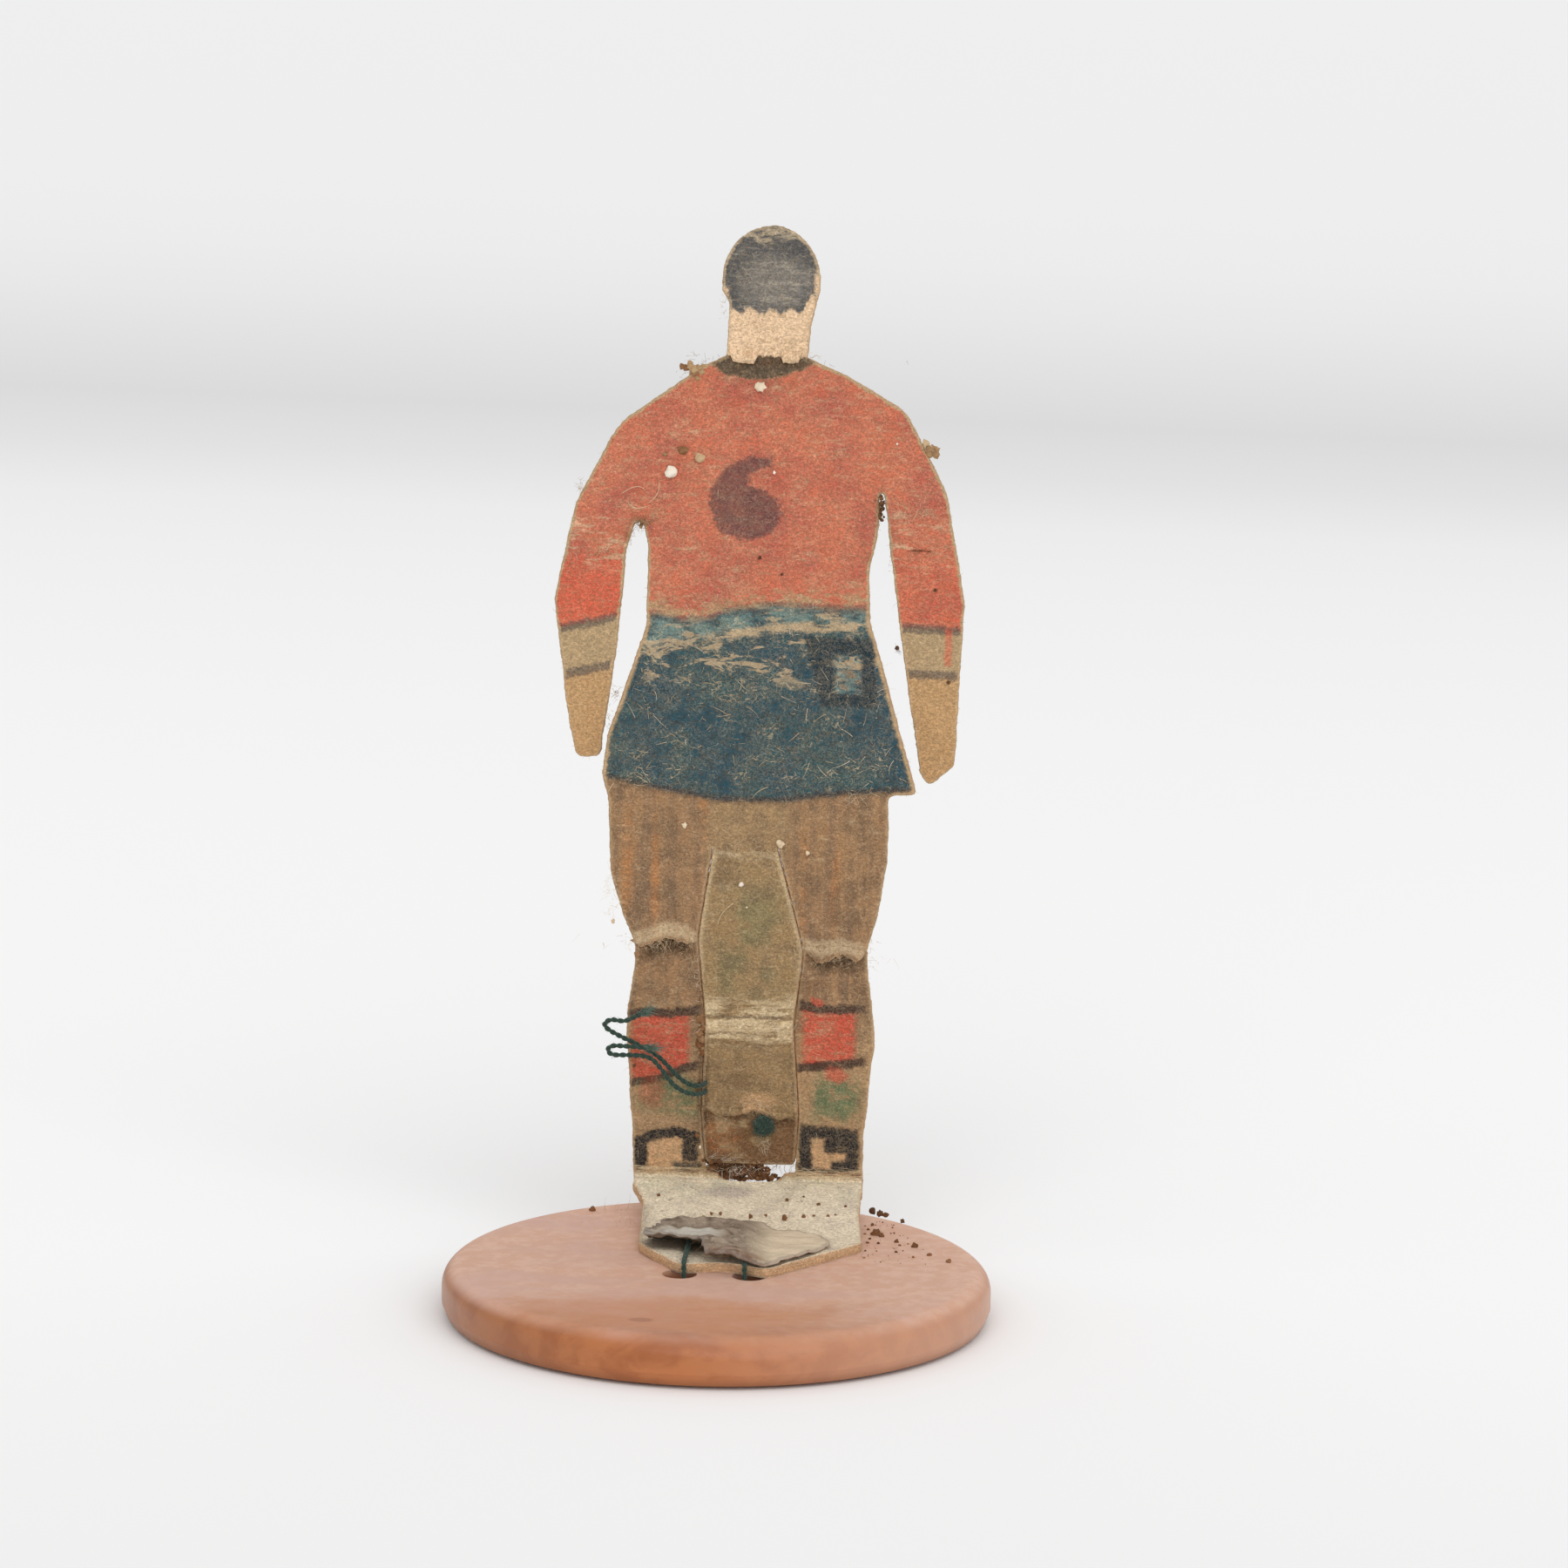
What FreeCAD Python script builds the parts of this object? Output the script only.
import FreeCAD, Part
import math
import os

from FreeCAD import Placement, Rotation, Vector

# A home-made button footballer: a painted card figure, folded at its ankles into a foot tab that is
# sewn to a coat button. A tongue cut free between the legs is flicked with a thread to kick the ball.
# Millimetres, +Z up. The origin is the centre of the button's underside. The figure's back faces -Y,
# so its left side is at -X. Heights on the card are measured along the flat sheet from the ankle crease.

# coat button
button_diameter = 30.0
button_thickness = 2.8
top_edge_round = 1.1
bottom_edge_round = 0.9
rest_ring_width = 2.4
dish_depth = 0.75
dish_slope_width = 1.2
sew_hole_diameter = 1.9
sew_hole_spacing = 3.8

# card
card_thickness = 0.6
slit_kerf = 0.2
crease_clearance = 0.04
slit_corner_round = 0.3

# crease heights along the sheet, from the ankle crease
knee_crease = 13.75
crotch_crease = 19.45
neck_crease = 46.9
flap_crease = 9.7
left_armpit = 37.6
right_armpit = 39.6
arm_crease_drop = 0.45
arm_gap = 1.1

# how far each panel is bent at rest, degrees, positive towards -Y going up
shin_lean = 4.0
knee_bend = -6.5
neck_bend = -12.0
left_arm_bend = 4.0
right_arm_bend = 5.0
flap_bend = -0.5
flap_lower_bend = 11.0

# the largest bend away from flat that each crease reaches in use, degrees
ankle_fold_limit = 116.0
knee_fold_limit = 40.0
neck_fold_limit = 40.0
arm_fold_limit = 35.0
kick_fold_limit = 62.0
flap_fold_limit = 40.0

# where the ankle crease stands on the button
ankle_setback = 12.0
ankle_lift = 1.25

# leg, hip and shoulder half-outlines as x at a height on the sheet
left_foot_x = -5.45
right_foot_x = 7.4
left_knee_x = -5.5
right_knee_x = 7.45
left_hem_x = -7.5
right_hem_x = 10.0
hem_height = 22.75
left_waist_x = -5.15
right_waist_x = 7.1
waist_height = 32.8
left_shoulder_x = -6.9
right_shoulder_x = 8.9
shoulder_height = 43.4
neck_left_x = -1.0
neck_right_x = 3.45
left_elbow_x = -10.35
right_elbow_x = 12.4
left_hand_width = 1.75
right_hand_width = 2.2
left_hand_height = 24.3
right_hand_height = 23.0

# head, a plain rounded shape
head_width = 5.4
head_length = 6.2
head_top = 54.15
neck_rise_left = 1.9
neck_rise_right = 3.1
neck_join_inset = 0.3
head_shift = 0.1
nape_round = 1.2

# kick flap: its sides are (distance from the axis, height, corner radius), going up and going down
flap_axis_x = 0.85
flap_left_side = [(2.45, 4.2, 4), (2.25, 9.7, 4), (2.75, 14.4, 4)]
flap_right_side = [(2.95, 13.8, 2), (2.45, 9.5, 4), (2.8, 4.2, 4)]
flap_top_left = 2.0
flap_top_right = 1.4
flap_end_left = 2.25
flap_end_right = 2.65
flap_end_height = 1.35
flap_end_round = 0.9
thread_hole_diameter = 1.06
spare_hole_diameter = 0.4
spare_hole_offset = (0.35, -1.05)
knot_height = 3.75
knot_offset_x = 1.0
knot_diameter = 1.3
knot_sink = 0.26
nick_height = 5.7
nick_depth = 0.22

# foot tab
tab_waist_x = -4.75
tab_left_corner = (-4.5, 2.3)
tab_front_left = (-2.0, -1.9)
tab_front_dip = (0.5, -1.3)
tab_front_tip = (2.9, -2.4)
tab_right_corner = (7.75, 3.6)
tab_heel_y = 11.2
tab_waist_y = 9.0
tab_side_y = 8.0
tab_rise_start = 4.0
tab_rise_end = 7.4
tab_side_round = 2.0
tab_corner_round = 0.6
notch_radius = 1.95
notch_x = 1.15

# torn grey top ply, curled up off the front of the tab
ply_thickness = 0.16
ply_root_y = 4.0
ply_lip_y = -0.4
ply_front_y = -2.55
ply_lift = 0.95
# its curl as (y, share of the lift, bend radius), and its torn outline as (x, y, corner radius)
ply_curl = [(3.25, 0, 1.0), (2.55, 0.7, 1.0), (0.35, 1.0, 1.5), (-0.9, 0.85, 2.0), (ply_front_y, 0.55, 0)]
ply_edge = [
    (-2.6, ply_root_y + 1, 0), (-3.7, 2.25, 1.2), (-3.2, -0.1, 0.6), (-0.5, ply_lip_y, 0.4),
    (-0.3, -2.15, 0.4), (2.9, ply_front_y, 0.5), (3.9, ply_lip_y, 1.2), (3.3, 2.25, 1.5),
    (1.6, ply_root_y + 1, 0),
]

# thread
thread_diameter = 0.42
thread_sides = 7
stitch_inset = 0.25
stitch_overhang = 0.35
needle_clearance = 0.05
thread_bend = 0.45

# the two loose ends of the kick thread, from where they leave the slit
long_end = [
    (-1.6, 10.1, 10.35), (-2.4, 9.9, 10.50), (-3.15, 9.85, 11.15), (-4.0, 9.85, 12.10),
    (-5.3, 9.8, 12.80), (-6.5, 9.7, 13.35), (-7.2, 9.6, 13.85), (-6.75, 9.5, 14.25),
    (-5.9, 9.4, 14.10), (-5.2, 9.2, 14.60), (-4.6, 8.9, 14.90),
]
short_end = [
    (-1.6, 10.0, 9.90), (-2.5, 9.5, 10.10), (-3.3, 9.35, 10.70), (-3.9, 9.35, 11.60),
    (-4.5, 9.35, 12.20), (-5.6, 9.35, 12.25), (-6.8, 9.3, 12.20), (-6.85, 9.25, 12.80),
    (-5.6, 9.25, 12.75), (-4.2, 9.3, 12.70),
]

# worked-out values
stitch_x = sew_hole_spacing / 2 - stitch_inset
stitch_back_y = sew_hole_spacing / 2 + stitch_overhang
stitch_front_y = -stitch_back_y
button_radius = button_diameter / 2
tab_top = button_thickness + card_thickness
ankle_height = button_thickness + card_thickness / 2 + ankle_lift
thread_radius = thread_diameter / 2
half_card = card_thickness / 2
knot_x = flap_axis_x + knot_offset_x
strand_offset = thread_radius + needle_clearance
far = 100.0              # longer than anything that it cuts


def corner_arcs(points, closed):
    """Edges through points (vector, radius): straight runs with a tangent arc at each corner."""
    count = len(points)
    edges = []
    joints = []
    for i, (corner, radius) in enumerate(points):
        if radius == 0 or (not closed and i in (0, count - 1)):
            joints.append((corner, corner, None))
            continue
        before = points[i - 1][0] - corner
        after = points[(i + 1) % count][0] - corner
        turn = math.pi - before.getAngle(after)
        reach = radius * math.tan(turn / 2)
        reach = min(reach, 0.48 * min(before.Length, after.Length))
        radius = reach / math.tan(turn / 2)
        start = corner + before.normalize() * reach
        end = corner + after.normalize() * reach
        inward = (before + after).normalize()
        middle = corner + inward * (radius / math.cos(turn / 2) - radius)
        joints.append((start, end, middle))
    for i, (start, end, middle) in enumerate(joints):
        if middle is not None:
            edges.append(Part.Arc(start, middle, end).toShape())
        if closed or i < count - 1:
            following = joints[(i + 1) % count][0]
            if end.distanceToPoint(following) > 1e-6:
                edges.append(Part.LineSegment(end, following).toShape())
    return edges


def sheet(outline, thickness=card_thickness):
    """A flat card panel from corners (x, height, corner radius), its middle on the XZ plane."""
    points = [(Vector(x, -thickness / 2, height), radius) for x, height, radius in outline]
    face = Part.Face(Part.Wire(corner_arcs(points, True)))
    return face.extrude(Vector(0, thickness, 0))


def prism(outline, low, high):
    """A vertical prism from corners (x, y, corner radius)."""
    points = [(Vector(x, y, low), radius) for x, y, radius in outline]
    face = Part.Face(Part.Wire(corner_arcs(points, True)))
    return face.extrude(Vector(0, 0, high - low))


def band(low, high, left=-far, right=far):
    """Everything between two heights on the flat sheet."""
    return Part.makeBox(right - left, far, high - low, Vector(left, -far / 2, low))


def roll(radius, height, left=-far, right=far):
    """A round bar along a crease at a height on the flat sheet."""
    return Part.makeCylinder(radius, right - left, Vector(left, 0, height), Vector(1, 0, 0))


def seat_radius(fold_limit):
    """The hollow that lets a rounded panel end turn this far without touching the hollow's lips."""
    return half_card / math.cos(math.radians(fold_limit / 2)) + crease_clearance


def tube(points, radius, bend):
    """A thread along straight runs, with tangent arcs or, where bend is 0, with mitred corners."""
    edges = corner_arcs([(point, bend) for point in points], False)
    path = Part.Wire(edges)
    along = (points[1] - points[0]).normalize()
    steep = abs(along.z) > math.sqrt(0.5)
    across = along.cross(Vector(1, 0, 0) if steep else Vector(0, 0, 1)).normalize() * radius
    spokes = [Rotation(along, 360 * i / thread_sides).multVec(across) for i in range(thread_sides)]
    section = Part.makePolygon([points[0] + spoke for spoke in spokes + spokes[:1]])
    return path.makePipeShell([section], True, False, 0 if bend else 1)


def fold(parent, crease, degrees):
    """The place of a panel that is bent about a crease of the flat sheet."""
    turn = Placement(Vector(0, 0, crease), Rotation(Vector(1, 0, 0), degrees))
    return parent * turn * Placement(Vector(0, 0, -crease), Rotation())


def placed(shape, placement):
    moved = shape.copy()
    moved.Placement = placement * moved.Placement
    return moved


def mirrored_pair(value):
    return (-value, value)


# places of the folded panels
shin_place = Placement(Vector(0, ankle_setback, ankle_height), Rotation(Vector(1, 0, 0), shin_lean))
torso_place = fold(shin_place, knee_crease, knee_bend)
head_place = fold(torso_place, neck_crease, neck_bend)
left_arm_crease = left_armpit - arm_crease_drop
right_arm_crease = right_armpit - arm_crease_drop
left_arm_place = fold(torso_place, left_arm_crease, left_arm_bend)
right_arm_place = fold(torso_place, right_arm_crease, right_arm_bend)
flap_place = fold(torso_place, crotch_crease, flap_bend)
flap_lower_place = fold(flap_place, flap_crease, flap_lower_bend)


def make_button():
    flat_radius = button_radius - top_edge_round
    side_low = bottom_edge_round
    side_high = button_thickness - top_edge_round
    ring_outer = button_radius - bottom_edge_round
    ring_inner = ring_outer - rest_ring_width
    dish_radius = ring_inner - dish_slope_width
    diagonal = math.sqrt(0.5)
    bevel_step = bottom_edge_round * (1 - diagonal)
    top_middle = Vector(flat_radius, 0, side_high) + Vector(diagonal, 0, diagonal) * top_edge_round
    corners = [
        Vector(button_radius, 0, side_high),
        Vector(button_radius, 0, side_low),
        Vector(button_radius - bevel_step, 0, bevel_step),
        Vector(ring_outer, 0, 0),
        Vector(ring_inner, 0, 0),
        Vector(dish_radius, 0, dish_depth),
        Vector(0, 0, dish_depth),
        Vector(0, 0, button_thickness),
        Vector(flat_radius, 0, button_thickness),
    ]
    edges = [Part.LineSegment(start, end).toShape() for start, end in zip(corners, corners[1:])]
    edges.append(Part.Arc(corners[-1], top_middle, corners[0]).toShape())
    profile = Part.Face(Part.Wire(edges))
    button = profile.revolve(Vector(0, 0, 0), Vector(0, 0, 1), 360)
    for x in mirrored_pair(sew_hole_spacing / 2):
        for y in mirrored_pair(sew_hole_spacing / 2):
            hole = Part.makeCylinder(sew_hole_diameter / 2, far, Vector(x, y, -far / 2))
            button = button.cut(hole)
    return button


def make_tab():
    """Flat on the button, then rising to the ankle crease, with the notch left by the kick flap."""
    low = button_thickness
    bend_y = (tab_rise_start + tab_rise_end) / 2
    rise_angle = math.atan2(ankle_lift, ankle_setback - bend_y)
    across = Vector(0, -math.sin(rise_angle), math.cos(rise_angle)) * card_thickness
    end_low = Vector(0, ankle_setback, ankle_height) - across * 0.5
    end_high = end_low + across
    bend_radius = (tab_rise_end - tab_rise_start) / rise_angle
    mitre = math.tan(rise_angle / 2) * half_card
    left = -far / 2
    front = tab_front_tip[1] - 1
    side = [
        (Vector(left, front, low), 0),
        (Vector(left, bend_y + mitre, low), bend_radius),
        (Vector(left, end_low.y, end_low.z), 0),
        (Vector(left, end_high.y, end_high.z), 0),
        (Vector(left, bend_y - mitre, low + card_thickness), bend_radius),
        (Vector(left, front, low + card_thickness), 0),
    ]
    strip = Part.Face(Part.Wire(corner_arcs(side, True))).extrude(Vector(far, 0, 0))
    plan = prism([
        (left_foot_x, ankle_setback + 1, 0),
        (left_foot_x, tab_heel_y, 1),
        (tab_waist_x, tab_waist_y, tab_side_round),
        (*tab_left_corner, 2 * tab_corner_round),
        (*tab_front_left, tab_corner_round),
        (*tab_front_dip, tab_side_round),
        (*tab_front_tip, tab_corner_round),
        (*tab_right_corner, tab_corner_round),
        (right_foot_x, tab_side_y, tab_side_round),
        (right_foot_x, ankle_setback + 1, 0),
    ], 0, far)
    tab = strip.common(plan)
    seat = Part.makeCylinder(seat_radius(ankle_fold_limit), far,
                             Vector(-far / 2, ankle_setback, ankle_height), Vector(1, 0, 0))
    notch = Part.makeCylinder(notch_radius, far, Vector(notch_x, ankle_setback, 0))
    tab = tab.cut(seat).cut(notch)
    for x in mirrored_pair(stitch_x):
        for y in (stitch_back_y, stitch_front_y):
            hole = Part.makeCylinder(thread_radius + needle_clearance, far, Vector(x, y, 0))
            tab = tab.cut(hole)
    return tab


def make_ply():
    """A thin wavy flake, joined to the tab at its back edge and curled up over the stitches."""
    curl = [(ply_root_y, 0, 0)] + ply_curl
    line = [(Vector(-far / 2, y, tab_top + share * ply_lift), radius) for y, share, radius in curl]
    back = [(point + Vector(0, 0, ply_thickness), radius) for point, radius in reversed(line)]
    wave = Part.Face(Part.Wire(corner_arcs(line + back, True))).extrude(Vector(far, 0, 0))
    return wave.common(prism(ply_edge, 0, far))


def make_stitch(x):
    """One loop of sewing thread: over the tab, down a pair of sew holes and across the dish."""
    over = tab_top + thread_radius
    under = dish_depth - thread_radius
    halves = []
    for y in (stitch_front_y, stitch_back_y):
        path = [Vector(x, 0, over), Vector(x, y, over), Vector(x, y, under), Vector(x, 0, under)]
        halves.append(tube(path, thread_radius, 0))
    return halves[0].fuse(halves[1]).removeSplitter()


# the cut sheet, flat
body_outline = [
    (left_foot_x, -1, 0),
    (left_foot_x - 0.15, 3.2, 4),
    (left_foot_x - 0.5, 8.8, 5),
    (left_foot_x - 0.45, 10.2, 2),
    (left_knee_x, 12.6, 2),
    (left_knee_x, 13.9, 1.5),
    (left_knee_x - 0.75, 15.7, 2),
    (left_knee_x - 1.45, 18.0, 4),
    (left_hem_x + 0.35, hem_height - 0.6, 3),
    (left_hem_x, hem_height + 0.7, 0.4),
    (left_hem_x + 0.2, hem_height + 2.7, 3),
    (left_waist_x, waist_height - 0.9, 3),
    (left_waist_x, left_armpit - 1.3, 2),
    (left_waist_x - 0.25, left_armpit, 0.25),
    (left_waist_x - 0.75, left_armpit, 0.25),
    (left_waist_x - 1.25, left_armpit - 1.8, 3),
    (left_waist_x - 1.7, left_armpit - 7.2, 4),
    (left_hem_x - 0.1, left_hand_height + 1.0, 2),
    (left_hem_x - 0.1, left_hand_height, 0.5),
    (left_hem_x - 0.1 - 0.8 * left_hand_width, left_hand_height - 0.1, 0.5),
    (left_hem_x - 0.2 - left_hand_width, left_hand_height + 1.8, 3),
    (left_elbow_x, waist_height + 0.4, 4),
    (left_shoulder_x - 2.3, left_armpit + 1.0, 5),
    (left_shoulder_x, shoulder_height - 0.4, 4),
    (neck_left_x - 1.5, neck_crease - 0.7, 3),
    (neck_left_x, neck_crease, 0),
    (neck_right_x, neck_crease, 0),
    (right_shoulder_x - 3.2, neck_crease - 1.0, 4),
    (right_shoulder_x, shoulder_height + 0.7, 2.5),
    (right_shoulder_x + 2.4, right_armpit, 5),
    (right_elbow_x, waist_height + 0.6, 5),
    (right_elbow_x - 0.4, right_hand_height + 1.2, 0.5),
    (right_elbow_x - 0.4 - 0.62 * right_hand_width, right_hand_height, 0.3),
    (right_elbow_x - 0.4 - 0.85 * right_hand_width, right_hand_height + 0.7, 0.6),
    (right_hem_x - 0.9, waist_height - 2.6, 6),
    (right_waist_x + 1.15, right_armpit - 3.4, 5),
    (right_waist_x + 0.75, right_armpit, 0.15),
    (right_waist_x + 0.45, right_armpit - 0.2, 0.1),
    (right_waist_x + 0.5, right_armpit - 1.9, 3),
    (right_waist_x, waist_height + 2.4, 4),
    (right_waist_x + 0.1, waist_height - 0.4, 3),
    (right_hem_x, hem_height, 0.2),
    (right_hem_x - 1.55, hem_height - 0.1, 0.3),
    (right_knee_x + 1.0, 19.0, 6),
    (right_knee_x + 0.5, 15.7, 3),
    (right_knee_x, 14.0, 1.5),
    (right_knee_x, 13.0, 1.5),
    (right_knee_x + 0.5, 8.6, 6),
    (right_foot_x, 3.0, 5),
    (right_foot_x, -1, 0),
]


def make_head_sheet():
    """A plain oval head on a short neck, drawn from its width and length alone."""
    middle_x = (neck_left_x + neck_right_x) / 2 + head_shift
    middle_height = head_top - head_length / 2
    front = Vector(middle_x, -half_card, middle_height)
    oval = Part.Ellipse(front + Vector(0, 0, head_length / 2), front + Vector(head_width / 2, 0, 0), front)
    head = Part.Face(Part.Wire(oval.toShape())).extrude(Vector(0, card_thickness, 0))
    neck = sheet([
        (neck_left_x, neck_crease - 1, 0),
        (neck_left_x, neck_crease + neck_rise_left, nape_round),
        (middle_x - head_width / 2 + neck_join_inset, middle_height, 0),
        (middle_x + head_width / 2 - neck_join_inset, middle_height, 0),
        (neck_right_x, neck_crease + neck_rise_right, nape_round),
        (neck_right_x, neck_crease - 1, 0),
    ])
    return head.fuse(neck).removeSplitter()


def flap_outline(growth, end):
    """The tongue between the legs: narrow at the crotch, widest beside the knees."""
    x = flap_axis_x
    top = crotch_crease + growth
    left = [(x - out - growth, height, radius) for out, height, radius in flap_left_side]
    right = [(x + out + growth, height, radius) for out, height, radius in flap_right_side]
    return [
        (x - flap_end_left - growth, end, flap_end_round),
        *left,
        (x - flap_top_left - growth, top, slit_corner_round),
        (x + flap_top_right + growth, top, slit_corner_round),
        *right,
        (x + flap_end_right + growth, end, flap_end_round),
    ]


def nick_x():
    """The middle of the worn nick in the tongue's left edge that the thread passes through."""
    return flap_axis_x - flap_left_side[0][0] + nick_depth + needle_clearance


def thread_holes():
    """What the thread needs cut from the tongue: a hole under the knot, a nick and an old needle hole."""
    along = Vector(0, 1, 0)
    strand = thread_radius + needle_clearance
    spare = Vector(knot_x + spare_hole_offset[0], -far / 2, knot_height + spare_hole_offset[1])
    nick = Vector(nick_x(), -far / 2, nick_height)
    lift = Vector(0, 0, strand_offset)
    return [
        Part.makeCylinder(thread_hole_diameter / 2, far, Vector(knot_x, -far / 2, knot_height), along),
        Part.makeCylinder(spare_hole_diameter / 2, far, spare, along),
        Part.makeCylinder(strand, far, nick - lift, along),
        Part.makeCylinder(strand, far, nick + lift, along),
        Part.makeBox(2 * strand, far, 2 * strand_offset, nick - lift - Vector(strand, 0, 0)),
    ]


def make_kick_thread(offset, loose_end):
    """One strand: from the knot through the tongue, across its front, back through the nick, then loose."""
    behind = -half_card
    in_front = half_card + thread_radius + needle_clearance
    start = flap_lower_place.multVec(Vector(knot_x, behind, knot_height + offset))
    turn = flap_lower_place.multVec(Vector(knot_x, in_front, knot_height + offset))
    edge = flap_lower_place.multVec(Vector(nick_x(), in_front, nick_height + offset))
    points = [start, turn, edge] + [Vector(*point) for point in loose_end]
    return tube(points, thread_radius, thread_bend)


def make_knot():
    middle = Vector(knot_x, -half_card - knot_diameter / 2 + knot_sink, knot_height)
    ball = Part.makeSphere(knot_diameter / 2, middle)
    flat = Part.makeBox(far, far, far, Vector(-far / 2, -far - half_card, -far / 2))
    return placed(ball.common(flat), flap_lower_place)


def make_panels():
    body = sheet(body_outline)
    window = sheet(flap_outline(slit_kerf, -2), far)
    flap = sheet(flap_outline(0, flap_end_height))
    head_sheet = make_head_sheet()
    panels = {}

    # shins: rounded at the ankle, hollowed at the knee
    legs = body.cut(window)
    ankle_roll = roll(half_card, 0)
    lower_legs = legs.common(band(0, knee_crease).fuse(ankle_roll))
    lower_legs = lower_legs.cut(roll(seat_radius(knee_fold_limit), knee_crease))
    for shin in lower_legs.Solids:
        side = "left_shin" if shin.CenterOfMass.x < flap_axis_x else "right_shin"
        panels[side] = placed(shin, shin_place)

    # arms: rounded at their creases, cut from the torso below the armpits
    arms_zone_left = (-far, left_waist_x - arm_gap / 2)
    arms_zone_right = (right_waist_x + arm_gap / 2, far)
    for side, crease, limits, place in (
        ("left_arm", left_arm_crease, arms_zone_left, left_arm_place),
        ("right_arm", right_arm_crease, arms_zone_right, right_arm_place),
    ):
        arm = body.common(band(0, crease, *limits).fuse(roll(half_card, crease, *limits)))
        outermost = max(arm.Solids, key=lambda solid: abs(solid.CenterOfMass.x))
        panels[side] = placed(outermost, place)

    # torso: rounded at the knees, hollowed for the neck, the arms and the kick flap
    torso = legs.common(band(knee_crease, neck_crease).fuse(roll(half_card, knee_crease)))
    torso = torso.cut(roll(seat_radius(neck_fold_limit), neck_crease))
    for crease, limits in ((left_arm_crease, arms_zone_left), (right_arm_crease, arms_zone_right)):
        torso = torso.cut(roll(seat_radius(arm_fold_limit), crease, *limits))
    torso = torso.cut(roll(seat_radius(kick_fold_limit), crotch_crease,
                           flap_axis_x - flap_top_left - slit_kerf, flap_axis_x + flap_top_right + slit_kerf))
    torso = max(torso.Solids, key=lambda solid: solid.Volume)
    panels["torso"] = placed(torso, torso_place)

    # head: rounded at the neck crease
    head = head_sheet.common(band(neck_crease, far).fuse(roll(half_card, neck_crease)))
    panels["head"] = placed(head, head_place)

    # kick flap: rounded at the crotch, hollowed at its own crease, then its rounded lower half
    upper = flap.common(band(flap_crease, crotch_crease).fuse(roll(half_card, crotch_crease)))
    upper = upper.cut(roll(seat_radius(flap_fold_limit), flap_crease))
    panels["kick_flap_upper"] = placed(upper, flap_place)
    lower = flap.common(band(0, flap_crease).fuse(roll(half_card, flap_crease)))
    for cut in thread_holes():
        lower = lower.cut(cut)
    panels["kick_flap_lower"] = placed(lower, flap_lower_place)
    return panels


def main():
    os.makedirs("parts", exist_ok=True)
    parts = {
        "button_base": make_button(),
        "foot_tab": make_tab(),
        "torn_ply": make_ply(),
        "stitch_left": make_stitch(-stitch_x),
        "stitch_right": make_stitch(stitch_x),
    }
    parts.update(make_panels())
    parts["thread_knot"] = make_knot()
    parts["kick_thread_long"] = make_kick_thread(strand_offset, long_end)
    parts["kick_thread_short"] = make_kick_thread(-strand_offset, short_end)
    for name, shape in parts.items():
        shape.exportStep("parts/" + name + ".step")
        box = shape.BoundBox
        print(f"{name:18} solids {len(shape.Solids)} valid {shape.isValid()} volume {shape.Volume:8.2f}",
              f"x {box.XMin:6.2f} {box.XMax:6.2f} y {box.YMin:6.2f} {box.YMax:6.2f}",
              f"z {box.ZMin:6.2f} {box.ZMax:6.2f}")
    creases = {
        "ankle_fold": (shin_place, 0),
        "knee_fold": (torso_place, knee_crease),
        "neck_fold": (head_place, neck_crease),
        "left_arm_fold": (left_arm_place, left_arm_crease),
        "right_arm_fold": (right_arm_place, right_arm_crease),
        "kick_fold": (flap_place, crotch_crease),
        "flap_fold": (flap_lower_place, flap_crease),
    }
    for name, (place, crease) in creases.items():
        axis_point = place.multVec(Vector(0, 0, crease))
        print(f"{name:16} y {axis_point.y:.4f} z {axis_point.z:.4f}")


main()
